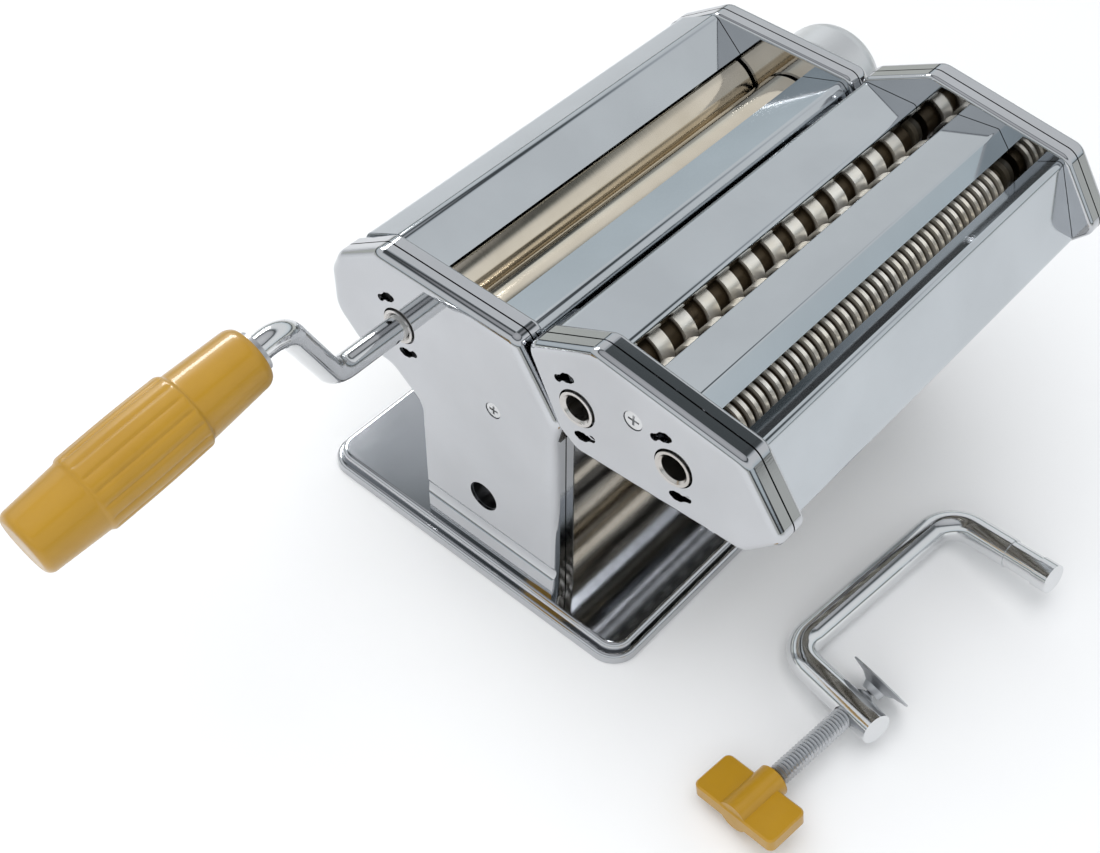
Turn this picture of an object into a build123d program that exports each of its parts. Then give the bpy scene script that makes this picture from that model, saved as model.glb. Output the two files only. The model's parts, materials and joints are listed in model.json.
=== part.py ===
"""Hand-cranked pasta roller machine with a clip-on twin cutter head and a loose table clamp.

Units are millimetres.  X runs along the rollers (crank end is -X, thickness dial is +X),
-Y is the front where the cutter head hangs, +Z is up.  The origin is the centre of the
underside of the base.
"""
import os
from math import atan2, cos, degrees, hypot, pi, radians, sin, sqrt, tan

from build123d import *

os.makedirs("parts", exist_ok=True)

# ---------------------------------------------------------------- driving dimensions
SHEET = 1.2                  # pressed side panels
PLATE = 1.0                  # folded plates between the side panels
X_FACE = 102.5               # outer face of the side covers
X_SEAM = 95.3                # where cover and inner frame meet
X_WALL = 89.7                # inner face of the side frames
SEAM_GAP = 0.6

BASE_X = 107.0               # half length of the base
BASE_Y = 78.2                # half width of the base
BASE_TOP = 8.0               # flat top of the base
BASE_CORNER = 11.0

ROLLER_R = 15.0
ROLLER_END = 88.6
REAR_AXIS = (32.1, 105.6)    # driven roller, (y, z)
FRONT_AXIS = (1.0, 109.0)    # adjustable roller
GEAR_TEETH = 13
GEAR_TIP = 17.1
GEAR_ROOT = 12.6

CUT_R = 10.0                 # cutter roll radius
CUT_CORE = 7.6
CUT_SPACING = 18.5           # distance between the two rolls of a pair
WIDE_AXIS = (-50.5, 123.0)
NARROW_AXIS = (-90.2, 124.5)
WIDE_PITCH = 12.71
NARROW_PITCH = 4.015
WIDE_COUNT = 13
NARROW_COUNT = 41
DISC_CLEAR = 0.2             # side clearance of a disc in the opposite groove
CUT_END = 84.0

SOCKET_R = 6.9               # crank sockets: outside, bore
SOCKET_BORE = 4.95
SOCKET_OUT = 103.2           # how far the sockets reach along X
ROD_R = 4.75                 # crank rod

CLAMP_HOLE = (-6.5, 41.0)
CLAMP_HOLE_R = 6.4
CLAMP_ROD_R = 6.1

SLANT = radians(56.5)        # slope of the front edge the cutter head slides on
UP = (cos(SLANT), sin(SLANT))          # up the slope, (y, z)
OUT = (-sin(SLANT), cos(SLANT))        # square to the slope, away from the body

# outline of head and pedestal: y, z, corner radius, running forward, down and back
MAIN = [(42.0, 135.0, 7), (-23.1, 135.0, 5), (-42.3, 106.0, 7), (-40.4, 95.0, 12), (-42.5, BASE_TOP, 0),
        (24.6, BASE_TOP, 0), (24.8, 69.5, 6.5), (38.5, 80.3, 9), (54.0, 80.3, 12), (67.4, 93.0, 12),
        (67.4, 112.0, 7), (63.5, 120.5, 7)]
# outline of the cutter head
HEAD = [(-26.9, 137.5, 5), (-56.0, 153.0, 7), (-115.0, 146.0, 7), (-133.3, 121.5, 5),
        (-119.5, 105.8, 7), (-50.5, 101.6, 7), (-42.2, 107.0, 5)]


# ---------------------------------------------------------------- outline helpers
def slope_point(out, z):
    """Point on the line lying `out` millimetres in front of the slope's datum, at height z."""
    return ((OUT[1] * z - out) / -OUT[0], z)


def inset(points, amount):
    """Move every side of a closed outline inwards, keeping the corner arcs concentric."""
    area = sum(a[0] * b[1] - b[0] * a[1] for a, b in zip(points, points[1:] + points[:1]))
    turn = 1 if area > 0 else -1
    moved = []
    count = len(points)
    for i in range(count):
        a, b, c = points[i - 1], points[i], points[(i + 1) % count]
        d1 = Vector(b[0] - a[0], b[1] - a[1]).normalized()
        d2 = Vector(c[0] - b[0], c[1] - b[1]).normalized()
        n1 = Vector(-d1.Y, d1.X) * turn
        n2 = Vector(-d2.Y, d2.X) * turn
        k = amount / (1 + n1.dot(n2))
        convex = (d1.X * d2.Y - d1.Y * d2.X) * turn > 0
        r = b[2] - amount if convex else b[2] + amount
        r = 0 if b[2] == 0 else max(r, 0.4)
        moved.append((b[0] + (n1.X + n2.X) * k, b[1] + (n1.Y + n2.Y) * k, r))
    return moved


def corner(a, b, c):
    """Start, middle and end of the arc that rounds corner b."""
    va = Vector(a[0] - b[0], a[1] - b[1]).normalized()
    vc = Vector(c[0] - b[0], c[1] - b[1]).normalized()
    half = va.get_angle(vc) * pi / 360
    reach = b[2] / tan(half)
    mid_dir = (va + vc).normalized()
    centre = Vector(b[0], b[1]) + mid_dir * (b[2] / sin(half))
    p = Vector(b[0], b[1]) + va * reach
    q = Vector(b[0], b[1]) + vc * reach
    return p, centre - mid_dir * b[2], q


def outline(points, x):
    """Face in the plane at x from a closed list of (y, z, corner radius)."""
    def world(v):
        return Vector(x, v.X, v.Y)

    edges = []
    first = last = None
    count = len(points)
    for i in range(count):
        a, b, c = points[i - 1], points[i], points[(i + 1) % count]
        if b[2] > 0:
            p, m, q = corner(a, b, c)
        else:
            p = q = Vector(b[0], b[1])
        if last is not None and (p - last).length > 1e-6:
            edges.append(Edge.make_line(world(last), world(p)))
        if first is None:
            first = p
        if b[2] > 0:
            edges.append(Edge.make_three_point_arc(world(p), world(m), world(q)))
        last = q
    if (first - last).length > 1e-6:
        edges.append(Edge.make_line(world(last), world(first)))
    return Face(Wire(edges))


def slab(points, xa, xb):
    """Closed outline pushed along X from xa to xb."""
    return extrude(outline(points, xa), amount=xb - xa, dir=(1, 0, 0))


def strip(path, thick):
    """Outline of a folded sheet that follows path (y, z, inner bend radius) on its left side."""
    count = len(path)
    near = []
    far = []
    for i in range(count):
        b = path[i]
        d1 = Vector(b[0] - path[i - 1][0], b[1] - path[i - 1][1]) if i else None
        d2 = Vector(path[i + 1][0] - b[0], path[i + 1][1] - b[1]) if i < count - 1 else None
        d1 = (d1 or d2).normalized()
        d2 = (d2 or d1).normalized()
        n1, n2 = Vector(-d1.Y, d1.X), Vector(-d2.Y, d2.X)
        k = thick / (1 + n1.dot(n2))
        left = d1.X * d2.Y - d1.Y * d2.X > 0
        ends = i in (0, count - 1)
        near.append((b[0], b[1], 0 if ends else (b[2] + thick if left else b[2])))
        far.append((b[0] + (n1.X + n2.X) * k, b[1] + (n1.Y + n2.Y) * k,
                    0 if ends else (b[2] if left else b[2] + thick)))
    return near + far[::-1]


def folded(path, thick, half):
    """Folded sheet spanning the machine from -half to +half."""
    return slab(strip(path, thick), -half, half)


def rod(axis, r, xa, xb):
    """Cylinder along X whose axis passes through (y, z)."""
    lo, hi = min(xa, xb), max(xa, xb)
    return Pos((lo + hi) / 2, axis[0], axis[1]) * Rot(0, 90, 0) * Cylinder(r, hi - lo)


def block(xa, xb, ya, yb, za, zb):
    """Rectangular block between the given limits."""
    return Pos((xa + xb) / 2, (ya + yb) / 2, (za + zb) / 2) * Box(abs(xb - xa), abs(yb - ya), abs(zb - za))


def turned(axis, profile):
    """Solid turned about an X-parallel axis from a closed list of (x, radius)."""
    pts = [Vector(x, axis[0], axis[1] + r) for x, r in profile]
    face = Face(Wire.make_polygon(pts, close=True))
    return revolve(face, axis=Axis((0, axis[0], axis[1]), (1, 0, 0)))


def slope_block(xa, xb, out_a, out_b, up_a, up_b):
    """Block lying on the slope, between two offsets from it and two distances up it."""
    corners = ((out_a, up_a), (out_a, up_b), (out_b, up_b), (out_b, up_a))
    return slab([(OUT[0] * o + UP[0] * u, OUT[1] * o + UP[1] * u, 0) for o, u in corners], xa, xb)


def group(*solids):
    """Separate solids kept side by side in one piece file."""
    return Compound(children=[s for part in solids for s in part.solids()])


def other_end(part):
    """Mirror image for the far end of the machine."""
    return mirror(part, about=Plane.YZ)


def save(name, part):
    solids = part.solids()
    shape = solids[0] if len(solids) == 1 else Compound(children=list(solids))
    export_step(shape, f"parts/{name}.step")


# ---------------------------------------------------------------- pressed pans
def pan(points, x_face, x_open, radius, foot=False):
    """Pressed pan: wall at x_face, flange running to x_open, rounded wall edge."""
    outer = slab(points, x_face, x_open)
    inner_pts = inset(points, SHEET)
    if foot:
        low = min(p[1] for p in inner_pts)
        inner_pts = [(y, z - 3 * SHEET if z < low + 0.01 else z, r) for y, z, r in inner_pts]
    toward = 1 if x_open > x_face else -1
    inner = slab(inner_pts, x_face + toward * SHEET, x_open + toward)

    def edge_round(solid, x, r, z_low):
        picked = [e for e in solid.edges()
                  if abs(e.center().X - x) < 1e-3 and (not foot or e.center().Z > z_low + 0.5)]
        return fillet(picked, r)

    outer = edge_round(outer, x_face, radius, BASE_TOP)
    inner = edge_round(inner, x_face + toward * SHEET, max(radius - SHEET, 0.5), BASE_TOP - 3)
    return outer, inner


def key_slot(axis, start, sweep, x):
    """Curved keyhole on a circle round a socket: narrow arc with a wider end."""
    r = 12.0
    cutter = None
    steps = 5
    for i in range(steps + 1):
        a = radians(start + sweep * i / steps)
        size = (1.5, 1.25, 1.4, 2.0, 2.0, 1.3)[i]
        disc = rod((axis[0] + r * cos(a), axis[1] + r * sin(a)), size, x - 3, x + 3)
        cutter = disc if cutter is None else cutter + disc
    return cutter


def key_slots(axis, x):
    return key_slot(axis, 45, 31, x) + key_slot(axis, 236, 31, x)


def screw_seat(axis, x, r_head, depth=0.3):
    """Space cleared for a countersunk screw head and shank."""
    shank = r_head * 0.52 + 0.15
    rim = x + depth + 0.45
    return turned(axis, [(x - 1, 0), (x - 1, r_head + 0.25), (rim, r_head + 0.25),
                         (rim + r_head * 0.45 + 0.1, shank), (x + 9, shank), (x + 9, 0)])


def countersunk(axis, x, r_head, length, depth=0.3):
    """Cross-head countersunk screw set in from face x, pointing towards +X."""
    slot_w = 0.9
    arm = r_head * 0.62
    screw = turned(axis, [(x + depth, 0), (x + depth, r_head), (x + depth + 0.35, r_head),
                          (x + depth + 0.35 + r_head * 0.45, r_head * 0.52),
                          (x + length, r_head * 0.52), (x + length, 0)])
    cross = block(x + depth - 1, x + depth + 1.0, axis[0] - arm, axis[0] + arm,
                  axis[1] - slot_w / 2, axis[1] + slot_w / 2)
    cross += block(x + depth - 1, x + depth + 1.0, axis[0] - slot_w / 2, axis[0] + slot_w / 2,
                   axis[1] - arm, axis[1] + arm)
    return screw - cross


# ---------------------------------------------------------------- base
def rounded_box(hx, hy, r, za, zb):
    return Pos(0, 0, za) * extrude(RectangleRounded(2 * hx, 2 * hy, r), zb - za)


def base_parts():
    step = 2.6
    lower = fillet(rounded_box(BASE_X, BASE_Y, BASE_CORNER, 0, 4.2).edges().group_by(Axis.Z)[-1], 1.9)
    upper = fillet(rounded_box(BASE_X - step, BASE_Y - step, BASE_CORNER - step, 0, BASE_TOP)
                   .edges().group_by(Axis.Z)[-1], 1.9)
    hollow = rounded_box(BASE_X - SHEET, BASE_Y - SHEET, BASE_CORNER - SHEET, -1, 4.2 - SHEET)
    hollow += rounded_box(BASE_X - step - SHEET, BASE_Y - step - SHEET, BASE_CORNER - step - SHEET, 0,
                          BASE_TOP - SHEET)
    pan_body = lower + upper - hollow
    screws = None
    anchors = []
    for sx in (-1, 1):
        for y in (-28, 10):
            anchors.append((sx * 96.0, y))
    for x, y in anchors:
        pan_body -= Pos(x, y, BASE_TOP) * Cylinder(2.0, 6)
        screw = Pos(x, y, BASE_TOP + 0.2) * Cylinder(1.9, 6.4)
        head = Pos(x, y, BASE_TOP - SHEET - 0.9) * Cylinder(3.6, 1.8)
        one = screw + head
        screws = one if screws is None else group(screws, one)
    save("base_pan", pan_body)
    save("base_screws", screws)

    under = rounded_box(BASE_X - SHEET - 0.2, BASE_Y - SHEET - 0.2, BASE_CORNER - SHEET, 0, PLATE)
    pads = None
    for x in (-88, 88):
        for y in (-60, 60):
            under -= Pos(x, y, 0) * Cylinder(9.0, 4)
            pad = Pos(x, y, 1.5) * Cylinder(8.8, 3.0)
            pads = pad if pads is None else group(pads, pad)
    save("base_underplate", under)
    save("foot_pads", pads)


def base_angle():
    """Angle piece that ties a side frame to the base, hidden inside the pedestal."""
    x_in = -(X_WALL + SHEET)
    leaf = block(x_in - PLATE, x_in, -36, 18, BASE_TOP, 24)
    foot = block(x_in - 9.2, x_in, -36, 18, BASE_TOP, BASE_TOP + PLATE)
    angle = leaf + foot
    for y in (-28, 10):
        angle -= Pos(-96.0, y, BASE_TOP) * Cylinder(2.0, 6)
    return angle


# ---------------------------------------------------------------- side panels
MAIN_EDGE = 4.0
HEAD_EDGE = 3.0
STEP_DEPTH = 0.8             # the pedestal's face lies this far behind the face above it
STEP_Z = 71.4
GROOVE_Z = 23.0
GROOVE_R = 6.5
GROOVE_DEPTH = 2.4
POST_CRANK = (-13.0, 94.2)
POST_KNOB = (-30.0, 101.0)
TIES = [(54.5, 103.0), (-31.0, 92.0)]
HEAD_SCREW = (-73.2, 134.0)
HEAD_SCREW_KNOB = (-79.6, 137.5)
COVER_HEAD_R = 3.2
HEAD_HEAD_R = 3.6


def pedestal_step(x):
    """Everything outside the set-back face of the pedestal, with a sloping step at its top."""
    pts = [(x - 9, 0), (x, 0), (x, STEP_Z), (x - STEP_DEPTH, STEP_Z + 0.9), (x - 9, STEP_Z + 0.9)]
    face = Face(Wire.make_polygon([Vector(a, -60, z) for a, z in pts], close=True))
    return extrude(face, amount=120, dir=(0, 1, 0))


def side_cover(crank_end):
    outer, inner = pan(MAIN, -X_FACE, -(X_SEAM + SEAM_GAP / 2), MAIN_EDGE, foot=True)
    gx = -X_FACE - GROOVE_R + GROOVE_DEPTH
    groove = Pos(gx, -8, GROOVE_Z) * Rot(90, 0, 0) * Cylinder(GROOVE_R, 90)
    relief = Pos(gx, -8, GROOVE_Z) * Rot(90, 0, 0) * Cylinder(GROOVE_R + SHEET, 90)
    back = -X_FACE + STEP_DEPTH
    cover = (outer - groove - pedestal_step(back)) - (inner - relief - pedestal_step(back + SHEET))
    cover -= rod(CLAMP_HOLE, CLAMP_HOLE_R + 0.2, -110, -100)
    if crank_end:
        cover -= rod(REAR_AXIS, SOCKET_R + 0.7, -110, -98)
        cover -= key_slots(REAR_AXIS, -X_FACE)
        post = POST_CRANK
    else:
        cover -= rod(FRONT_AXIS, 4.3, -110, -98)
        post = POST_KNOB
    return cover - screw_seat(post, -X_FACE, COVER_HEAD_R)


def side_frame(crank_end):
    outer, inner = pan(MAIN, -X_WALL, -(X_SEAM - SEAM_GAP / 2), 1.6, foot=True)
    frame = outer - inner
    frame -= rod(CLAMP_HOLE, CLAMP_HOLE_R, -95, -85)
    frame -= rod(REAR_AXIS, 9.5, -95, -85)
    y, z = FRONT_AXIS
    frame -= block(-95, -85, y - 10.6, y + 10.6, z - 9.3, z + 9.3)
    for t in TIES:
        frame -= rod(t, 2.5, -95, -85)
    return frame


def cover_post(post, r, r_head):
    """Threaded post between frame and cover that takes a cover screw."""
    return rod(post, r, -(X_WALL + SHEET), -(X_FACE - SHEET)) - screw_seat(post, -X_FACE, r_head)


# ---------------------------------------------------------------- plates of the roller body
def hopper_parts():
    half = X_WALL - 0.25
    rear = [(28.2, 121.6, 0), (41.6, 133.4, 2.5), (58.2, 124.4, 5), (63.6, 112.0, 8),
            (62.8, 92.0, 8), (52.0, 84.6, 0)]
    save("hopper_rear_plate", folded(rear, PLATE, half))
    top = slope_point(91.2, 129.0)
    low = slope_point(91.2, 107.0)
    front = [(-2.6, 126.2, 0), (-20.4, 132.4, 1.6), (top[0] + 0.4, top[1] + 0.6, 1.6), (low[0], low[1], 4),
             (-35.6, 95.0, 0)]
    plate = folded(front, PLATE, half)
    save("hopper_front_plate", plate)


def scrapers():
    half = X_WALL - 0.6
    parts = []
    for axis, lean, side, play in ((REAR_AXIS, 305, 1, 0.35), (FRONT_AXIS, 235, -1, 1.6)):
        a = radians(lean)
        gap = ROLLER_R + play
        tip = (axis[0] + gap * cos(a), axis[1] + gap * sin(a))
        tail = (tip[0] + side * 3.0, tip[1] - 7.0)
        path = [(tip[0], tip[1], 0), (tail[0], tail[1], 0.8), (tail[0] + side * 5.0, tail[1] - 0.8, 0)]
        parts.append(folded(path, 0.8, half))
    save("roller_scrapers", group(*parts))


# ---------------------------------------------------------------- rollers and gears
def gear(axis, teeth, r_root, r_tip, xa, xb, bore, phase, tip_w, root_w):
    """Coarse spur gear with long straight-sided teeth."""
    pts = []
    for i in range(teeth):
        mid = phase + 2 * pi * i / teeth
        for r, w in ((r_root, -root_w), (r_tip, -tip_w), (r_tip, tip_w), (r_root, root_w)):
            a = mid + w / 2 / r
            pts.append((axis[0] + r * cos(a), axis[1] + r * sin(a), 0))
    return slab(pts, xa, xb) - rod(axis, bore, xa - 1, xb + 1)


def mesh_phase(a, b, teeth):
    """Tooth phases that put a tooth of one gear in a gap of the other."""
    line = atan2(b[1] - a[1], b[0] - a[0])
    return line, line + pi + pi / teeth


def crank_place(part):
    """From the crank's own frame (x along the shank, z up the arm) to the machine's."""
    return Pos(0, REAR_AXIS[0], REAR_AXIS[1]) * Rot(CRANK_TURN, 0, 0) * part


def roller_parts():
    bore_in = 84.8
    rear = rod(REAR_AXIS, ROLLER_R, -ROLLER_END, ROLLER_END) + rod(REAR_AXIS, 5.0, ROLLER_END, 93.0)
    rear -= rod(REAR_AXIS, SOCKET_R, -ROLLER_END - 1, -bore_in)
    rear -= crank_place(block(-bore_in - 0.5, -bore_in + 7.0, -1.9, 1.9, -4.6, 4.6))
    rear = chamfer(rear.edges().filter_by(GeomType.CIRCLE).filter_by(
        lambda e: abs(e.radius - ROLLER_R) < 1e-3), 0.6)
    save("rear_roller", rear)

    socket = rod(REAR_AXIS, SOCKET_R, -SOCKET_OUT, -bore_in) - rod(REAR_AXIS, SOCKET_BORE, -110, -bore_in + 1)
    socket = chamfer(socket.edges().group_by(Axis.X)[0].filter_by(
        lambda e: abs(e.radius - SOCKET_BORE) < 1e-3), 0.9)
    save("main_socket", socket)

    front = rod(FRONT_AXIS, ROLLER_R, -ROLLER_END, ROLLER_END)
    front = chamfer(front.edges().filter_by(GeomType.CIRCLE), 0.6)
    front += rod(FRONT_AXIS, 5.0, -99.9, 92.0)
    save("front_roller", front)

    pa, pb = mesh_phase(REAR_AXIS, FRONT_AXIS, GEAR_TEETH)
    save("rear_gear", gear(REAR_AXIS, GEAR_TEETH, GEAR_ROOT, GEAR_TIP, -99.6, -93.6, SOCKET_R, pa, 1.3, 3.6))
    save("front_gear", gear(FRONT_AXIS, GEAR_TEETH, GEAR_ROOT, GEAR_TIP, -99.6, -93.6, 5.0, pb, 1.3, 3.6))

    bush_a = rod(REAR_AXIS, 9.5, -92.6, -X_WALL) + rod(REAR_AXIS, 11.0, -92.6, -X_WALL - SHEET)
    bush_a -= rod(REAR_AXIS, SOCKET_R + 0.06, -95, -85)
    bush_b = rod(REAR_AXIS, 9.5, X_WALL, 94.0) + rod(REAR_AXIS, 11.0, X_WALL + SHEET, 94.0)
    bush_b -= rod(REAR_AXIS, 5.06, 85, 93.3)
    bush_c = rod(FRONT_AXIS, 4.3, X_FACE - SHEET - 1.2, X_FACE)
    bush_c += rod(FRONT_AXIS, 6.5, X_FACE - SHEET - 1.2, X_FACE - SHEET)
    bush_c -= rod(FRONT_AXIS, 3.06, 95, 105)
    save("roller_bushes", group(bush_a, bush_b, bush_c))


def carriage_parts():
    y, z = FRONT_AXIS
    blocks = []
    for sx in (-1, 1):
        xa, xb = sorted((sx * 89.0, sx * 92.9))
        slide = block(xa, xb, y - 9.0, y + 9.0, z - 9.0, z + 9.0)
        xa, xb = sorted((sx * 91.3, sx * 92.9))
        slide += block(xa, xb, y - 9.0, y + 9.0, z - 11.5, z + 11.5)
        slide -= rod(FRONT_AXIS, 5.06, sx * 88, sx * 92.2 if sx > 0 else sx * 94)
        blocks.append(slide)
    save("carriage_blocks", group(*blocks))
    yoke = block(92.9, 96.4, y - 9.0, y + 9.0, z - 9.0, z + 9.0)
    window = block(92, 98, y - 5.35, y + 5.35, z - 6.4, z + 6.4)
    save("regulator_yoke", yoke - window)


def knob_parts():
    y, z = FRONT_AXIS
    cam = rod((y, z + 1.0), 5.0, 93.3, 96.0)
    spindle = rod(FRONT_AXIS, 3.9, 96.0, 99.0) + rod(FRONT_AXIS, 3.0, 99.0, 127.0)
    save("regulator_cam", cam + spindle)

    r, x0, x1, x2 = 23.0, 103.6, 117.5, 131.0
    steps = 9
    dome = [(x1 + (x2 - x1) * sin(pi / 2 * i / steps), r * cos(pi / 2 * i / steps)) for i in range(steps)]
    body = turned(FRONT_AXIS, [(x0, 0), (x0, r - 0.6), (x0 + 0.6, r)] + dome + [(x2, 0)])
    body -= rod(FRONT_AXIS, 9.0, x0 - 1, 114.0)
    body -= rod(FRONT_AXIS, 3.0, x0 - 1, 127.0)
    body -= rod((y, z + 16.0), 1.5, x0 - 1, x0 + 8.0)
    save("regulator_knob", body)
    save("index_pin", rod((y, z + 16.0), 1.5, 102.8, x0 + 8.0))

    dial = rod(FRONT_AXIS, 21.0, X_FACE, 103.3) - rod(FRONT_AXIS, 4.3, 100, 105)
    track = rod(FRONT_AXIS, 17.8, 100, 105) - rod(FRONT_AXIS, 14.2, 99, 106)
    dial -= track & block(100, 105, y - 25, y + 25, z - 2.0, z + 25)
    save("regulator_dial", dial)

    turns, pitch, r_coil = 5, 1.7, 6.6
    helix = Helix(pitch=pitch, height=pitch * turns, radius=r_coil)
    start = helix @ 0
    wire_face = Plane(origin=start, z_dir=helix % 0) * Circle(0.5)
    spring = sweep(wire_face, path=helix)
    spring = Pos(104.6, y, z) * Rot(0, 90, 0) * spring
    save("regulator_spring", spring)


# ---------------------------------------------------------------- crank
CRANK_LEAN = radians(27.8)
CRANK_REACH = 44.5
SHANK_OUT = 31.5
CRANK_TURN = 8.8             # how far the arm leans forward of vertical at rest, degrees
GRIP_TILT = radians(9.4)
GRIP_START = 13.0
GRIP_LEN = 90.0


def bent_rod(points, radius, bend):
    """Round rod swept along a bent centre line given as 3-D points."""
    edges = []
    last = Vector(*points[0])
    for a, b, c in zip(points, points[1:], points[2:]):
        a, b, c = Vector(*a), Vector(*b), Vector(*c)
        va, vc = (a - b).normalized(), (c - b).normalized()
        half = va.get_angle(vc) * pi / 360
        reach = bend / tan(half)
        mid_dir = (va + vc).normalized()
        p, q = b + va * reach, b + vc * reach
        m = b + mid_dir * (bend / sin(half) - bend)
        edges.append(Edge.make_line(last, p))
        edges.append(Edge.make_three_point_arc(p, m, q))
        last = q
    edges.append(Edge.make_line(last, Vector(*points[-1])))
    path = Wire(edges)
    start = Vector(*points[0])
    way = (Vector(*points[1]) - start).normalized()
    return sweep(Plane(origin=start, z_dir=way) * Circle(radius), path=path)


def crank_parts():
    knee = -(X_FACE + SHANK_OUT)
    elbow = (knee - CRANK_REACH * tan(CRANK_LEAN), 0, CRANK_REACH)
    along = (-cos(GRIP_TILT), 0, -sin(GRIP_TILT))
    tail = GRIP_START + GRIP_LEN - 3.0
    end = tuple(e + a * tail for e, a in zip(elbow, along))
    bar = bent_rod([(-85.6, 0, 0), (knee, 0, 0), elbow, end], ROD_R, 11.0)
    bar += block(-86.0, -79.6, -1.6, 1.6, -4.2, 4.2)
    save("crank_rod", crank_place(bar))

    grip_frame = Plane(origin=elbow, x_dir=(0, 1, 0), z_dir=along)
    s, e = GRIP_START, GRIP_START + GRIP_LEN
    profile = [(s, 0), (s, 9.0), (s + 2.0, 11.2), (s + 27.0, 12.6), (s + 27.6, 13.6), (s + 67.0, 14.0),
               (s + 67.6, 13.0), (e - 1.6, 11.7), (e, 10.4), (e, 0)]
    face = Face(Wire.make_polygon([Vector(r, 0, a) for a, r in profile], close=True))
    grip = revolve(face, axis=Axis.Z)
    for i in range(14):
        a = 2 * pi * i / 14
        grip -= Pos(15.6 * cos(a), 15.6 * sin(a), s + 47.3) * Cylinder(2.5, 38.0)
    grip -= Pos(0, 0, s) * Cylinder(ROD_R + 0.08, 2 * (GRIP_LEN - 2.9))
    save("crank_grip", crank_place(grip_frame * grip))

    stop = Pos(0, 0, s - 1.1) * (Cylinder(7.2, 1.6) - Cylinder(ROD_R, 3))
    save("grip_stop_ring", crank_place(grip_frame * stop))


# ---------------------------------------------------------------- cutter head
def roll_profile(first, pitch, count, clear):
    """Stepped outline of one cutter roll as (x, radius) pairs."""
    profile = [(-CUT_END, 0), (-CUT_END, CUT_CORE)]
    width = pitch / 2 - clear * 2
    for i in range(count):
        xa = first + i * pitch
        xb = xa + width
        if xa < -CUT_END + 0.5 or xb > CUT_END - 0.5:
            continue
        profile += [(xa, CUT_CORE), (xa, CUT_R), (xb, CUT_R), (xb, CUT_CORE)]
    return profile + [(CUT_END, CUT_CORE), (CUT_END, 0)]


def cutter_pair(name, axis, pitch, count, gear_x):
    """Two intermeshing rolls, the driven one behind, with gears at the dial end."""
    front_axis = (axis[0] - CUT_SPACING, axis[1])
    first = -pitch * count / 2 + DISC_CLEAR
    rear = turned(axis, roll_profile(first, pitch, count + 1, DISC_CLEAR))
    front = turned(front_axis, roll_profile(first - pitch / 2, pitch, count + 2, DISC_CLEAR))
    socket_in = 83.0
    rear -= rod(axis, SOCKET_R, -90, -socket_in)
    rear -= block(-socket_in - 0.5, -socket_in + 6.0, axis[0] - 1.9, axis[0] + 1.9,
                  axis[1] - 4.4, axis[1] + 4.4)
    rear += rod(axis, 4.5, CUT_END, 99.0)
    front += rod(front_axis, 4.5, -93.2, -CUT_END) + rod(front_axis, 4.5, CUT_END, 99.0)
    save(f"{name}_roll_rear", rear)
    save(f"{name}_roll_front", front)
    socket = rod(axis, SOCKET_R, -SOCKET_OUT, -socket_in) - rod(axis, SOCKET_BORE, -110, -socket_in + 1)
    socket = chamfer(socket.edges().group_by(Axis.X)[0].filter_by(
        lambda e: abs(e.radius - SOCKET_BORE) < 1e-3), 0.9)
    save(f"{name}_socket", socket)
    teeth = 12
    pa, pb = mesh_phase(axis, front_axis, teeth)
    for suffix, centre, phase in (("rear", axis, pa), ("front", front_axis, pb)):
        wheel = gear(centre, teeth, 7.5, 10.5, gear_x, gear_x + 2.3, 4.5, phase, 1.1, 2.5)
        save(f"{name}_gear_{suffix}", wheel)
    return front_axis


def head_cover(crank_end):
    outer, inner = pan(HEAD, -X_FACE, -(X_SEAM + SEAM_GAP / 2), HEAD_EDGE)
    cover = outer - inner
    if crank_end:
        for axis in (WIDE_AXIS, NARROW_AXIS):
            cover -= rod(axis, SOCKET_R + 0.7, -110, -98)
            cover -= key_slots(axis, -X_FACE)
    return cover - screw_seat(HEAD_SCREW if crank_end else HEAD_SCREW_KNOB, -X_FACE, HEAD_HEAD_R)


def head_frame(crank_end, pairs):
    outer, inner = pan(HEAD, -X_WALL, -(X_SEAM - SEAM_GAP / 2), 1.6)
    frame = outer - inner
    for rear, front in pairs:
        frame -= rod(rear, 9.2 if crank_end else 7.0, -95, -85)
        frame -= rod(front, 7.0, -95, -85)
    return frame


def head_bushes(pairs):
    parts = []
    for rear, front in pairs:
        for axis, big, bore, sx in ((rear, 9.2, SOCKET_R + 0.06, -1), (front, 7.0, 4.56, -1),
                                    (rear, 7.0, 4.56, 1), (front, 7.0, 4.56, 1)):
            sleeve = rod(axis, big, sx * 87.2, sx * 93.6) - rod(axis, bore, sx * 80, sx * 97)
            parts.append(sleeve)
    return group(*parts)


def head_plates():
    half = X_WALL - 0.25
    top = slope_point(98.2, 137.6)
    low = slope_point(98.2, 109.6)
    rear = [(low[0], low[1], 0), (top[0], top[1], 2.0), (-53.6, 138.2, 1.0), (-53.9, 135.4, 0)]
    save("head_rear_plate", folded(rear, PLATE, half))
    mid = [(-70.4, 138.6, 0), (-69.9, 142.6, 1.0), (-87.3, 144.8, 1.2), (-92.9, 138.4, 0)]
    save("head_mid_plate", folded(mid[::-1], -PLATE, half))
    front = [(-104.4, 139.2, 0), (-113.6, 144.2, 2.0), (-126.6, 113.4, 2.5), (-121.5, 110.4, 0)]
    save("head_front_plate", folded(front[::-1], -PLATE, half))


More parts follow.
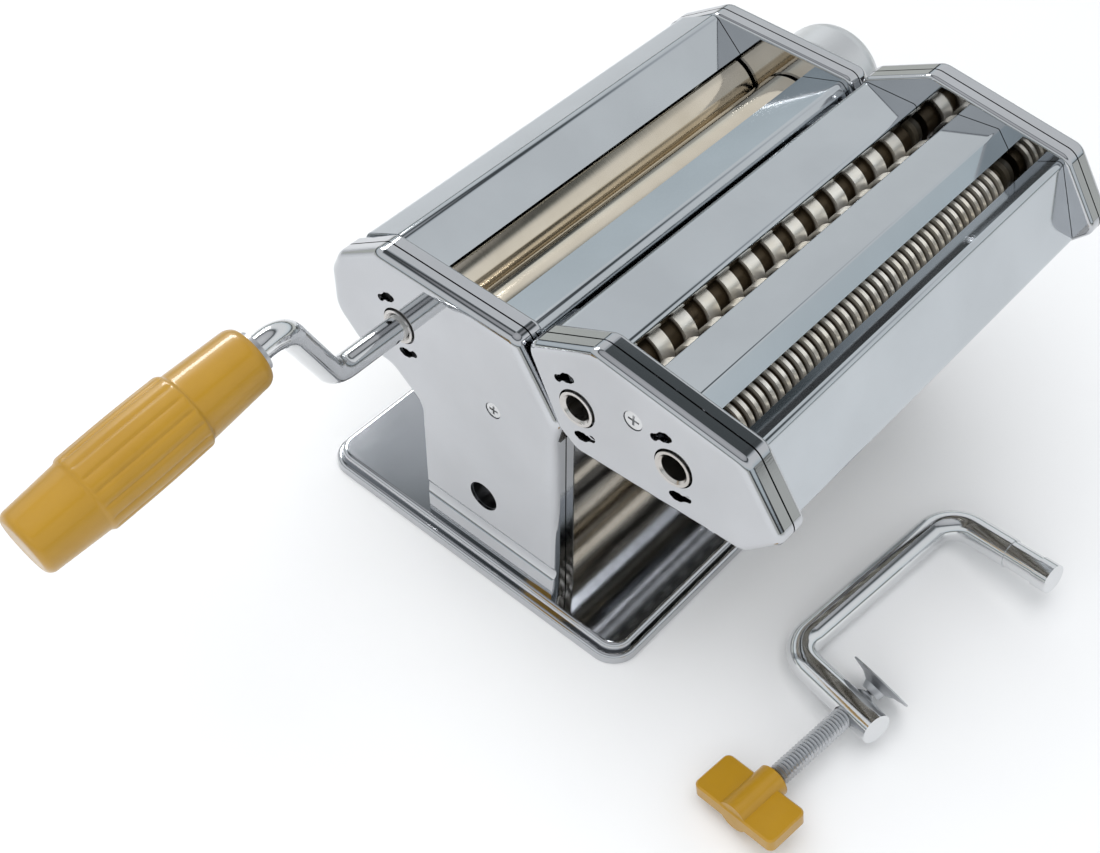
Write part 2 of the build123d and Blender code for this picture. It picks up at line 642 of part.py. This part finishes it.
def comb(axis_rear, axis_front, pitch, count, out):
    """Stripper comb under a cutter pair, one finger in each groove of both rolls."""
    first = -pitch * count / 2
    y_mid = (axis_rear[0] + axis_front[0]) / 2
    z_top = axis_rear[1] - 6.5
    finger = pitch / 2 - 2 * DISC_CLEAR - 0.5
    side = 1 if out == "rear" else -1
    axis = axis_rear if side > 0 else axis_front
    reach = CUT_CORE + 0.5
    bar_y = axis[0] + side * 1.4
    za, zb = axis[1] - CUT_R - 3.6, axis[1] - CUT_R - 0.5
    part = block(-CUT_END - 5.3, CUT_END + 5.3, bar_y - 1.8, bar_y + 1.8, za, zb)
    shift = 0 if side > 0 else pitch / 2
    for i in range(-1, count + 1):
        centre = first + shift + (i + 0.75) * pitch
        if abs(centre) > CUT_END - 3:
            continue
        part += block(centre - finger / 2, centre + finger / 2, bar_y - 1.2, bar_y + 1.2,
                      za, axis[1] - reach - 0.8)
    return part


def rails():
    """Tee rails on the body's front slope and the channels of the cutter head that run on them."""
    tees = []
    channels = []
    ua, ub = 73.5, 92.0
    for sx in (-1, 1):
        c = sx * 77.0
        tee = slope_block(c - 3, c + 3, 91.2, 94.4, ua, ub) + slope_block(c - 6, c + 6, 94.4, 96.4, ua, ub)
        tee += slope_block(c - 6, c + 6, 91.2, 96.4, ua - 3.0, ua)
        tees.append(tee)
        web = slope_block(c - 8.5, c + 8.5, 96.8, 98.2, ua + 0.4, ub)
        for k in (-1, 1):
            web += slope_block(c + k * 6.4, c + k * 8.5, 92.4, 96.8, ua + 0.4, ub)
            web += slope_block(c + k * 3.4, c + k * 8.5, 92.4, 94.0, ua + 0.4, ub)
        channels.append(web)
    save("mount_rails", group(*tees))
    save("head_channels", group(*channels))


# ---------------------------------------------------------------- table clamp, lying beside the base
CLAMP_TILT = 10.0
CLAMP_SWING = 6.0
CLAMP_BACK = 93.8
CLAMP_ARM = 46.0
CLAMP_TIP = 49.5
CLAMP_SCREW_AT = 33.3        # distance of the screw from the back of the bow
CLAMP_CORNER = (-58.8, -123.0, 6.35)


def clamp_frame():
    """Plane of the clamp's bow: x along its back, -y along its arms."""
    t, s = radians(CLAMP_TILT), radians(CLAMP_SWING)
    e2 = Vector(0, -cos(t), sin(t))
    back = Vector(cos(s), 0, 0) + e2 * sin(s)
    return Plane(origin=CLAMP_CORNER, x_dir=back, z_dir=Vector(0, sin(t), cos(t)))


def clamp_parts():
    frame = clamp_frame()
    lean_arm, lean_tip = radians(9.0), radians(-2.0)
    arm_end = (-CLAMP_ARM * sin(lean_arm), -CLAMP_ARM * cos(lean_arm), 0)
    tip_end = (CLAMP_BACK + CLAMP_TIP * sin(lean_tip), -CLAMP_TIP * cos(lean_tip), 0)
    bow = bent_rod([arm_end, (0, 0, 0), (CLAMP_BACK, 0, 0), tip_end], CLAMP_ROD_R, 12.0)
    way = Vector(sin(lean_tip), -cos(lean_tip), 0)
    neck = Vector(*tip_end) - way * 13.0
    ring = Plane(origin=neck, z_dir=way) * (Cylinder(8, 13.0) - Cylinder(CLAMP_ROD_R - 0.5, 13.0))
    bow -= ring
    axis_y = -CLAMP_SCREW_AT
    axis_x = -CLAMP_SCREW_AT * tan(lean_arm)
    bow -= Pos(axis_x, axis_y, 0) * Rot(0, 90, 0) * Cylinder(4.15, 40)
    save("clamp_bow", frame * bow)

    x_wing, x_pad = axis_x - 44.3, axis_x + 11.5
    pitch, r_out, r_in = 1.5, 4.0, 3.25
    pts = [(x_wing - 8, 0), (x_wing - 8, r_in)]
    x = x_wing
    while x < x_pad - 6.2:
        pts += [(x, r_in), (x + pitch / 2, r_out), (x + pitch, r_in)]
        x += pitch
    pts += [(x_pad - 4.6, r_in), (x_pad - 4.6, 1.3), (x_pad - 0.5, 1.3), (x_pad - 0.5, 0)]
    pts = [p for i, p in enumerate(pts) if i == 0 or p != pts[i - 1]]
    face = Face(Wire.make_polygon([Vector(a, r, 0) for a, r in pts], close=True))
    screw = Pos(0, axis_y, 0) * (revolve(face, axis=Axis.X) + Pos(x_pad, 0, 0) * Sphere(2.2))
    save("clamp_screw", frame * screw)

    hub = Pos(x_wing - 8.5, axis_y, 0) * Rot(0, 90, 0) * Cylinder(6.2, 21.0)
    wing = Pos(x_wing - 10.5, axis_y, 0) * Box(18.0, 36.0, 6.0)
    wing = fillet(wing.edges().filter_by(Axis.Z), 2.5)
    wing = chamfer(wing.edges().group_by(Axis.Z)[0], 0.6)
    wing = chamfer(wing.edges().group_by(Axis.Z)[-1], 0.6)
    grip = wing + hub - Pos(x_wing - 4.0, axis_y, 0) * Rot(0, 90, 0) * Cylinder(3.25, 8.0)
    grip -= Pos(x_wing + 2.0, axis_y, 0) * Rot(0, 90, 0) * Cylinder(4.1, 4.0)
    save("clamp_wing_knob", frame * grip)

    centre = frame.from_local_coords(Vector(x_pad, axis_y, 0))
    normal = Vector(0.858, -0.158, 0.488)
    dish = [(0, -1.9), (3.7, -1.9), (4.6, 0.8), (7.4, 2.4), (12.7, 3.5), (12.7, 4.1), (0, 3.6)]
    dish_face = Face(Wire.make_polygon([Vector(r, 0, a) for r, a in dish], close=True))
    pad = Plane(origin=centre, z_dir=normal) * revolve(dish_face, axis=Axis.Z)
    joint_room = Sphere(2.4) + Pos(-4, 0, 0) * Rot(0, 90, 0) * Cylinder(1.9, 8.0)
    pad -= frame * (Pos(x_pad, axis_y, 0) * joint_room)
    save("clamp_pad", pad)


# ---------------------------------------------------------------- make every piece
base_parts()
save("base_angles", group(base_angle(), other_end(base_angle())))
save("side_cover_crank", side_cover(True))
save("side_cover_knob", other_end(side_cover(False)))
save("side_frame_crank", side_frame(True))
save("side_frame_knob", other_end(side_frame(False)))

x_in, x_out = -(X_WALL + SHEET), -(X_FACE - SHEET)
save("cover_posts", group(cover_post(POST_CRANK, 2.6, COVER_HEAD_R),
                          other_end(cover_post(POST_KNOB, 3.0, COVER_HEAD_R))))
save("cover_screws", group(countersunk(POST_CRANK, -X_FACE, COVER_HEAD_R, 7.5),
                           other_end(countersunk(POST_KNOB, -X_FACE, COVER_HEAD_R, 7.5))))

sleeve = rod(CLAMP_HOLE, CLAMP_HOLE_R + 1.6, x_out + STEP_DEPTH, x_in) - rod(CLAMP_HOLE, CLAMP_HOLE_R, -110, -80)
save("clamp_sleeves", group(sleeve, other_end(sleeve)))
ties = [rod(t, 2.5, -92.4, 92.4) + rod(t, 4.2, -X_WALL, X_WALL) for t in TIES]
save("tie_rods", group(*ties))

hopper_parts()
scrapers()
roller_parts()
carriage_parts()
knob_parts()
crank_parts()

wide_front = cutter_pair("wide", WIDE_AXIS, WIDE_PITCH, WIDE_COUNT, 93.9)
narrow_front = cutter_pair("narrow", NARROW_AXIS, NARROW_PITCH, NARROW_COUNT, 96.7)
pairs = [(WIDE_AXIS, wide_front), (NARROW_AXIS, narrow_front)]
save("head_cover_crank", head_cover(True))
save("head_cover_knob", other_end(head_cover(False)))
save("head_frame_crank", head_frame(True, pairs))
save("head_frame_knob", other_end(head_frame(False, pairs)))
save("head_bushes", head_bushes(pairs))
save("head_posts", group(cover_post(HEAD_SCREW, 3.0, HEAD_HEAD_R),
                         other_end(cover_post(HEAD_SCREW_KNOB, 3.0, HEAD_HEAD_R))))
save("head_screws", group(countersunk(HEAD_SCREW, -X_FACE, HEAD_HEAD_R, 7.5),
                          other_end(countersunk(HEAD_SCREW_KNOB, -X_FACE, HEAD_HEAD_R, 7.5))))
head_plates()
save("wide_combs", group(comb(WIDE_AXIS, wide_front, WIDE_PITCH, WIDE_COUNT, "rear"),
                         comb(WIDE_AXIS, wide_front, WIDE_PITCH, WIDE_COUNT, "front")))
save("narrow_combs", group(comb(NARROW_AXIS, narrow_front, NARROW_PITCH, NARROW_COUNT, "rear"),
                           comb(NARROW_AXIS, narrow_front, NARROW_PITCH, NARROW_COUNT, "front")))
rails()
clamp_parts()
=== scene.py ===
"""Looks of the pasta roller machine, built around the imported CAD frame.

Lengths are in metres. The CAD nodes are shown as they are, with procedural materials. Of the
machine, only the crank's grip is a mesh of this script's own.
"""

import json
import math

import bmesh
import bpy
import numpy as np
from mathutils import Matrix, Vector


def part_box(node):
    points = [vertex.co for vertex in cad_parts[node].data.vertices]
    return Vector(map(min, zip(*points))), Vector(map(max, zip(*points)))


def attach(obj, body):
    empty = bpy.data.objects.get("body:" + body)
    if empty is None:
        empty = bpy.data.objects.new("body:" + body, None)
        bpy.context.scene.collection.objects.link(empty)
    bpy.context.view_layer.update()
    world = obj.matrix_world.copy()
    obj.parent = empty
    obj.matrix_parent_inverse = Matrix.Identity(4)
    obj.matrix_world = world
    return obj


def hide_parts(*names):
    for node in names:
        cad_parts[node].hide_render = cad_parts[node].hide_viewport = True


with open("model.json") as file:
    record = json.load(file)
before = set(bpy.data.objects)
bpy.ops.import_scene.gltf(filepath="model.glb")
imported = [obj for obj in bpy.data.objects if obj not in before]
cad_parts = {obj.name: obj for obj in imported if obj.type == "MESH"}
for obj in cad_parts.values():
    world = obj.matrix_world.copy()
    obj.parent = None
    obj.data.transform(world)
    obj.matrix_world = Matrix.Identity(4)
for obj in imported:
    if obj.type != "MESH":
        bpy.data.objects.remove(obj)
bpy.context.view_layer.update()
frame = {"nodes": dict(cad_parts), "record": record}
nodes = frame["nodes"]

# ---------------------------------------------------------------- camera
# Fitted to the photograph: azimuth, elevation and roll in degrees.
CAM_AZ, CAM_EL, CAM_ROLL = (math.radians(a) for a in (-49.536, 48.421, 1.224))
CAM_POS = Vector((-0.37400, -0.27077, 0.50799))
CAM_LENS = 52.50                # mm
SENSOR_WIDTH = 36.0             # mm
CLIP_START = 0.01


def make_camera():
    right = Vector((math.cos(CAM_AZ), math.sin(CAM_AZ), 0))
    back = Vector((math.sin(CAM_AZ) * math.cos(CAM_EL),
                   -math.cos(CAM_AZ) * math.cos(CAM_EL),
                   math.sin(CAM_EL)))
    up = back.cross(right)
    c, s = math.cos(CAM_ROLL), math.sin(CAM_ROLL)
    right, up = right * c + up * s, up * c - right * s
    data = bpy.data.cameras.new("camera")
    data.lens = CAM_LENS
    data.sensor_width = SENSOR_WIDTH
    data.clip_start = CLIP_START
    cam = bpy.data.objects.new("camera", data)
    turn = Matrix((right, up, back)).transposed().to_4x4()
    cam.matrix_world = Matrix.Translation(CAM_POS) @ turn
    bpy.context.scene.collection.objects.link(cam)
    bpy.context.scene.camera = cam


# ---------------------------------------------------------------- material helpers
class Nodes:
    """Small helper that adds and links shader nodes."""

    def __init__(self, name):
        self.mat = bpy.data.materials.new(name)
        self.mat.use_nodes = True
        self.tree = self.mat.node_tree
        self.bsdf = next(n for n in self.tree.nodes if n.type == "BSDF_PRINCIPLED")
        self.coord = self.add("ShaderNodeTexCoord").outputs["Object"]

    def add(self, kind, **values):
        node = self.tree.nodes.new(kind)
        for key, value in values.items():
            setattr(node, key, value)
        return node

    def link(self, a, b):
        self.tree.links.new(a, b)

    def stretched(self, scale):
        m = self.add("ShaderNodeMapping")
        m.inputs["Scale"].default_value = scale
        self.link(self.coord, m.inputs["Vector"])
        return m.outputs["Vector"]

    def noise(self, scale, detail=3.0, rough=0.5, stretch=None):
        n = self.add("ShaderNodeTexNoise")
        n.inputs["Scale"].default_value = scale
        n.inputs["Detail"].default_value = detail
        n.inputs["Roughness"].default_value = rough
        self.link(self.stretched(stretch) if stretch else self.coord, n.inputs["Vector"])
        return n.outputs["Fac"]

    def spread(self, value, low, high, from_low=0.3, from_high=0.7):
        m = self.add("ShaderNodeMapRange")
        m.inputs["From Min"].default_value = from_low
        m.inputs["From Max"].default_value = from_high
        m.inputs["To Min"].default_value = low
        m.inputs["To Max"].default_value = high
        self.link(value, m.inputs["Value"])
        return m.outputs["Result"]

    def blend(self, value, a, b, from_low=0.35, from_high=0.65):
        r = self.add("ShaderNodeValToRGB")
        r.color_ramp.elements[0].position = from_low
        r.color_ramp.elements[0].color = (*a, 1)
        r.color_ramp.elements[1].position = from_high
        r.color_ramp.elements[1].color = (*b, 1)
        self.link(value, r.inputs["Fac"])
        return r.outputs["Color"]

    def bump(self, value, strength, distance):
        b = self.add("ShaderNodeBump")
        b.inputs["Strength"].default_value = strength
        b.inputs["Distance"].default_value = distance
        self.link(value, b.inputs["Height"])
        return b

    def chain_bump(self, first, value, strength, distance):
        b = self.bump(value, strength, distance)
        self.link(first.outputs["Normal"], b.inputs["Normal"])
        return b

    def set(self, name, value):
        self.bsdf.inputs[name].default_value = value

    def drive(self, name, output):
        self.link(output, self.bsdf.inputs[name])


# ---------------------------------------------------------------- materials
LINE_DEPTH = 0.00002            # turning and grinding lines, and the grain of zinc
WIPE_DEPTH = 0.000012           # fine wipe marks on plated sheet
PEEL_DEPTH = 0.00003            # orange peel on moulded plastic
SINK_DEPTH = 0.0001             # long soft hollows in moulded plastic


def shade(colour, factor):
    return tuple(c * factor for c in colour)


def chrome(name, colour, rough, wave=0.00012, wave_scale=14.0):
    """Plated sheet: long shallow ripples, faint smears and a few fine wipe marks."""
    n = Nodes(name)
    n.set("Metallic", 1.0)
    n.drive("Base Color", n.blend(n.noise(28, detail=4), colour, shade(colour, 0.93)))
    smears = n.noise(9, detail=6, rough=0.6)
    n.drive("Roughness", n.spread(smears, rough, rough * 2.2))
    ripple = n.bump(n.noise(wave_scale, detail=1.0), 1.0, wave)
    wipes = n.noise(420, detail=2, rough=0.6, stretch=(1, 6, 6))
    n.drive("Normal", n.chain_bump(ripple, wipes, 0.25, WIPE_DEPTH).outputs["Normal"])
    return n.mat


def turned_metal(name, colour, other, rough, along=(600, 6, 6)):
    """Metal with fine lines round it from turning or grinding."""
    n = Nodes(name)
    n.set("Metallic", 1.0)
    n.drive("Base Color", n.blend(n.noise(24, detail=4, rough=0.6), colour, other))
    n.drive("Roughness", n.spread(n.noise(40, detail=5, rough=0.6), rough, rough * 1.7))
    lines = n.noise(1.0, detail=3, rough=0.6, stretch=along)
    n.drive("Normal", n.bump(lines, 0.35, LINE_DEPTH).outputs["Normal"])
    return n.mat


LAND_COLOUR, LAND_WORN = (1.0, 0.98, 0.92), (0.96, 0.90, 0.78)
# painted shade: the near-black colour put into the grooves between the lands, where shade falls
GROOVE_SHADE_COLOUR = (0.07, 0.05, 0.028)
WIDE_GROOVE_RADIUS, NARROW_GROOVE_RADIUS = 0.0083, 0.0079
GROOVE_FADE = 0.0012            # radius over which the painted groove shade fades into the land


def cutter_metal(name, axis, groove_radius):
    """Plated cutter roll: pale ground lands, and shade painted dark into the grooves nearer its axis
    than groove_radius.
    """
    n = Nodes(name)
    n.set("Metallic", 0.7)
    place = n.add("ShaderNodeMapping")
    place.inputs["Scale"].default_value = (0, 1, 1)
    place.inputs["Location"].default_value = (0, -axis[0], -axis[1])
    n.link(n.coord, place.inputs["Vector"])
    radius = n.add("ShaderNodeVectorMath", operation="LENGTH")
    n.link(place.outputs["Vector"], radius.inputs[0])
    land = n.spread(radius.outputs["Value"], 0.0, 1.0, groove_radius, groove_radius + GROOVE_FADE)
    tint = n.blend(n.noise(60, detail=4, rough=0.6), LAND_COLOUR, LAND_WORN)
    # the grooves get the painted shade colour, the lands the tinted metal
    mix = n.add("ShaderNodeMix", data_type="RGBA")
    n.link(land, mix.inputs["Factor"])
    mix.inputs["A"].default_value = (*GROOVE_SHADE_COLOUR, 1)
    n.link(tint, mix.inputs["B"])
    n.drive("Base Color", mix.outputs["Result"])
    n.drive("Roughness", n.spread(n.noise(70, detail=4), 0.26, 0.40))
    lines = n.noise(1.0, detail=3, rough=0.6, stretch=(700, 8, 8))
    n.drive("Normal", n.bump(lines, 0.3, LINE_DEPTH).outputs["Normal"])
    return n.mat


def zinc(name, colour, rough):
    """Dull zinc plate with small crystal cells."""
    n = Nodes(name)
    n.set("Metallic", 1.0)
    cells = n.add("ShaderNodeTexVoronoi")
    cells.inputs["Scale"].default_value = 260
    n.link(n.coord, cells.inputs["Vector"])
    n.drive("Base Color", n.blend(cells.outputs["Distance"], colour, shade(colour, 0.8), 0.1, 0.8))
    n.drive("Roughness", n.spread(n.noise(60, detail=5), rough * 0.8, rough * 1.3))
    n.drive("Normal", n.bump(n.noise(500, detail=4), 0.3, LINE_DEPTH).outputs["Normal"])
    return n.mat


def plastic(name, colour, dark, rough, coat=0.0):
    """Moulded plastic or rubber with orange peel, and a clear coat where coat is above 0."""
    n = Nodes(name)
    n.drive("Base Color", n.blend(n.noise(32, detail=5, rough=0.65), colour, dark, 0.3, 0.75))
    n.drive("Roughness", n.spread(n.noise(90, detail=4), rough, rough * 1.5))
    n.set("Coat Weight", coat)
    n.set("Coat Roughness", 0.08)
    peel = n.bump(n.noise(260, detail=2), 0.4, PEEL_DEPTH)
    sinks = n.noise(22, detail=2)
    n.drive("Normal", n.chain_bump(peel, sinks, 0.5, SINK_DEPTH).outputs["Normal"])
    return n.mat


SCREW_LINES = (8, 300, 300)     # stretch of the noise that draws the lines
DIAL_LINES = (6, 500, 500)

materials = {
    "chrome_sheet": chrome("chrome_sheet_look", (0.555, 0.565, 0.585), 0.035),
    "bright_plate": chrome("bright_plate_look", (0.545, 0.575, 0.60), 0.05,
                           wave=0.00010, wave_scale=10.0),
    "zinc_steel": zinc("zinc_steel_look", (0.60, 0.61, 0.63), 0.34),
    "screw_steel": turned_metal("screw_steel_look", (0.74, 0.75, 0.76), (0.62, 0.62, 0.62), 0.18,
                                along=SCREW_LINES),
    "spring_steel": zinc("spring_steel_look", (0.35, 0.36, 0.38), 0.30),
    "roller_nickel": turned_metal("roller_nickel_look", (0.74, 0.67, 0.56), (0.64, 0.57, 0.46), 0.09),
    "cutter_nickel": turned_metal("cutter_nickel_look", (0.80, 0.72, 0.60), (0.66, 0.57, 0.45), 0.16),
    "socket_steel": turned_metal("socket_steel_look", (0.62, 0.60, 0.58), (0.50, 0.47, 0.44), 0.20),
    "gear_steel": zinc("gear_steel_look", (0.42, 0.42, 0.42), 0.36),
    "bush_nylon": plastic("bush_nylon_look", (0.09, 0.075, 0.05), (0.06, 0.05, 0.035), 0.38),
    "dial_aluminium": turned_metal("dial_aluminium_look", (0.78, 0.79, 0.80), (0.70, 0.71, 0.72),
                                   0.22, along=DIAL_LINES),
    "yellow_plastic": plastic("yellow_plastic_look", (0.44, 0.235, 0.007), (0.39, 0.205, 0.006),
                              0.32, coat=0.4),
    # The slot's name is older than its colour: the knob is a pale metallised grey.
    "knob_black": chrome("knob_look", (0.72, 0.73, 0.74), 0.22, wave=0.00006, wave_scale=40.0),
    "clamp_chrome": chrome("clamp_chrome_look", (0.74, 0.75, 0.76), 0.07,
                           wave=0.00001, wave_scale=40.0),
    "clamp_steel": turned_metal("clamp_steel_look", (0.56, 0.57, 0.59), (0.42, 0.43, 0.45), 0.26),
    "rubber_feet": plastic("rubber_feet_look", (0.02, 0.02, 0.021), (0.04, 0.04, 0.04), 0.7),
}

slot_of = {s["node"]: s["material_slot"] for s in frame["record"]["subparts"]}
for node_name, obj in nodes.items():
    for s in obj.material_slots:
        s.material = materials[slot_of[node_name]]

nodes["clamp_sleeves"].material_slots[0].material = zinc("sleeve_look", (0.10, 0.10, 0.105), 0.30)


def roll_axis(roll):
    """(y, z) of a cutter roll's axis, the middle of its box."""
    low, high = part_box(roll)
    middle = (low + high) / 2
    return middle.y, middle.z


for kind, groove_radius in (("wide", WIDE_GROOVE_RADIUS), ("narrow", NARROW_GROOVE_RADIUS)):
    for side in ("rear", "front"):
        roll = f"{kind}_roll_{side}"
        nodes[roll].material_slots[0].material = cutter_metal(
            roll + "_look", roll_axis(roll), groove_radius)


# ---------------------------------------------------------------- detail pieces
def new_piece(name, bm, material):
    """Mesh object from a bmesh, smooth shaded."""
    mesh = bpy.data.meshes.new(name)
    bm.to_mesh(mesh)
    bm.free()
    for polygon in mesh.polygons:
        polygon.use_smooth = True
    mesh.materials.append(material)
    obj = bpy.data.objects.new(name, mesh)
    bpy.context.scene.collection.objects.link(obj)
    return obj


def long_axis(name):
    """Start point, direction and length of a turned CAD node, from its machine end outwards."""
    obj = nodes[name]
    points = [obj.matrix_world @ v.co for v in obj.data.vertices]
    cover = np.cov(np.array([tuple(p) for p in points]).T)
    way = Vector(np.linalg.eigh(cover)[1][:, -1])
    if way.x > 0:
        way = -way
    middle = sum(points, Vector()) / len(points)
    along = [(p - middle).dot(way) for p in points]
    return middle + way * min(along), way, max(along) - min(along)


def lathe(start, way, rings, sides, flute):
    """Closed turned body; flute(s, angle) is added to the radius at distance s."""
    side = way.cross(Vector((0, 0, 1))).normalized()
    up = side.cross(way)
    bm = bmesh.new()
    loops = []
    for s, r in rings:
        loop = []
        for i in range(sides):
            a = 2 * math.pi * i / sides
            reach = r + flute(s, a)
            loop.append(bm.verts.new(start + way * s + (side * math.cos(a) + up * math.sin(a)) * reach))
        loops.append(loop)
    for a, b in zip(loops, loops[1:]):
        for i in range(sides):
            j = (i + 1) % sides
            bm.faces.new((a[i], a[j], b[j], b[i]))
    bm.faces.new(loops[0][::-1])
    bm.faces.new(loops[-1])
    bmesh.ops.recalc_face_normals(bm, faces=bm.faces)
    return bm


CORNER_STEPS = 6


def smooth_profile(points):
    """Round the corners of an outline of (distance, radius, corner) by short Bezier blends."""
    out = [points[0][:2]]
    for (a, b, c) in zip(points, points[1:], points[2:]):
        pa, pb, pc = (Vector(p[:2]) for p in (a, b, c))
        reach = min(b[2], (pb - pa).length * 0.5, (pc - pb).length * 0.5)
        p, q = pb + (pa - pb).normalized() * reach, pb + (pc - pb).normalized() * reach
        for k in range(CORNER_STEPS + 1):
            t = k / CORNER_STEPS
            out.append(tuple(p * (1 - t) ** 2 + pb * 2 * t * (1 - t) + q * t ** 2))
    out.append(points[-1][:2])
    return out


GRIP_SIDES = 256
GRIP_RING_STEP = 0.0012
SMALLEST_RADIUS = 0.0005        # closes the grip's ends
BARREL = (0.0275, 0.0672)       # fluted stretch, from the machine end
FLUTES = 16
FLUTE_DEPTH = 0.00055
FLUTE_RUN_OUT = 0.0022          # length over which a flute fades at each end


def grip_outline(length):
    """(distance, radius, corner) from the machine end: end face, neck, barrel, tail, end face."""
    return [(0.0, 0.0062, 0), (0.0, 0.0098, 0.001), (0.0022, 0.0112, 0.002),
            (0.0268, 0.0125, 0.0006), (0.0280, 0.0137, 0.0008), (0.0475, 0.0141, 0.010),
            (0.0666, 0.0138, 0.0008), (0.0678, 0.0129, 0.0006),
            (length - 0.0016, 0.0116, 0.0016), (length, 0.0100, 0.001), (length, 0.0, 0)]


def grip_flute(s, a):
    """Change of radius at distance s and angle a: shallow flutes that run out at the barrel's ends."""
    ends = min(s - BARREL[0], BARREL[1] - s) / FLUTE_RUN_OUT
    fade = max(0.0, min(1.0, ends))
    wave = abs(math.sin(a * FLUTES / 2))
    return -FLUTE_DEPTH * fade * (1 - wave) ** 2


def fill_rings(rings):
    """Add rings between neighbours that are two GRIP_RING_STEP or more apart."""
    dense = []
    for (s0, r0), (s1, r1) in zip(rings, rings[1:]):
        parts = max(1, int(abs(s1 - s0) / GRIP_RING_STEP))
        dense += [(s0 + (s1 - s0) * k / parts, r0 + (r1 - r0) * k / parts) for k in range(parts)]
    return dense + [rings[-1]]


def make_grip():
    """Moulded handle: smooth tapered ends and a fluted barrel with soft shoulders."""
    start, way, length = long_axis("crank_grip")
    rings = [(s, max(r, SMALLEST_RADIUS)) for s, r in smooth_profile(grip_outline(length))]
    body = lathe(start, way, fill_rings(rings), GRIP_SIDES, grip_flute)
    grip = new_piece("moulded_grip", body, materials["yellow_plastic"])
    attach(grip, "grip")
    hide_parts("crank_grip")


make_grip()


# ---------------------------------------------------------------- stage and light
FLOOR_HALF = 3.0
FLOOR_DROP = 0.0002             # keeps the floor just below the feet
BACKDROP = (0.93, 0.93, 0.93)   # what the camera sees behind the floor

# World light by the sine of the angle above the horizon. It is the same all round, and the first
# colour goes on below the horizon. The dark ring and dark band give the chrome something to mirror.
SKY = ((0.0, (0.62, 0.64, 0.60)), (0.085, (0.60, 0.62, 0.60)),
       (0.10, (0.04, 0.04, 0.042)), (0.15, (0.04, 0.04, 0.042)),
       (0.19, (0.60, 0.68, 0.72)), (0.28, (0.75, 0.80, 0.83)),
       (0.45, (0.82, 0.84, 0.85)), (0.70, (0.80, 0.82, 0.84)), (0.755, (0.52, 0.55, 0.58)),
       (0.79, (0.10, 0.115, 0.12)), (0.83, (0.07, 0.075, 0.08)),
       (0.86, (0.45, 0.46, 0.48)), (1.0, (0.62, 0.63, 0.65)))


def make_floor():
    mesh = bpy.data.meshes.new("floor")
    h = FLOOR_HALF
    mesh.from_pydata([(-h, -h, 0), (h, -h, 0), (h, h, 0), (-h, h, 0)], [], [(0, 1, 2, 3)])
    floor = bpy.data.objects.new("floor", mesh)
    floor.location.z = -FLOOR_DROP
    bpy.context.scene.collection.objects.link(floor)
    n = Nodes("floor_look")
    n.drive("Base Color", n.blend(n.noise(3, detail=3), (0.93, 0.93, 0.93), (0.90, 0.90, 0.905)))
    n.set("Roughness", 0.75)
    mesh.materials.append(n.mat)


def make_world():
    """Light and reflections come from SKY; the camera itself sees the plain backdrop."""
    world = bpy.data.worlds.new("studio")
    bpy.context.scene.world = world
    world.use_nodes = True
    tree = world.node_tree
    tree.nodes.clear()

    def add(kind):
        return tree.nodes.new(kind)

    coord = add("ShaderNodeTexCoord")
    split = add("ShaderNodeSeparateXYZ")
    tree.links.new(coord.outputs["Generated"], split.inputs[0])
    ramp = add("ShaderNodeValToRGB")
    elements = ramp.color_ramp.elements
    for i, (at, colour) in enumerate(SKY):
        e = elements[i] if i < 2 else elements.new(at)
        e.position = at
        e.color = (*colour, 1)
    tree.links.new(split.outputs["Z"], ramp.inputs["Fac"])
    background = add("ShaderNodeBackground")
    tree.links.new(ramp.outputs["Color"], background.inputs["Color"])
    background.inputs["Strength"].default_value = 1.0
    plain = add("ShaderNodeBackground")
    plain.inputs["Color"].default_value = (*BACKDROP, 1)
    path = add("ShaderNodeLightPath")
    mix = add("ShaderNodeMixShader")
    tree.links.new(path.outputs["Is Camera Ray"], mix.inputs["Fac"])
    tree.links.new(background.outputs[0], mix.inputs[1])
    tree.links.new(plain.outputs[0], mix.inputs[2])
    out = add("ShaderNodeOutputWorld")
    tree.links.new(mix.outputs[0], out.inputs["Surface"])


def area_light(name, location, target, size, power, reflected=False):
    """Soft panel in watts. A reflected one shows only in reflections, where the others don't show."""
    data = bpy.data.lights.new(name, "AREA")
    data.shape = "RECTANGLE"
    data.size, data.size_y = size
    data.energy = power
    light = bpy.data.objects.new(name, data)
    light.location = location
    light.rotation_euler = (Vector(target) - Vector(location)).to_track_quat("-Z", "Y").to_euler()
    light.visible_glossy = reflected
    light.visible_diffuse = not reflected
    bpy.context.scene.collection.objects.link(light)


make_camera()
make_floor()
make_world()
area_light("overhead", (-0.3, 0.2, 2.0), target=(0, 0, 0), size=(2.4, 2.4), power=31)
area_light("side", (-1.2, -0.6, 0.9), target=(0, 0, 0.08), size=(1.0, 0.8), power=3)
area_light("highlight", (0.30, 1.0, 0.90), target=(-0.19, 0.02, 0.1), size=(0.55, 0.28),
           power=10, reflected=True)
bpy.context.scene.view_settings.view_transform = "Standard"
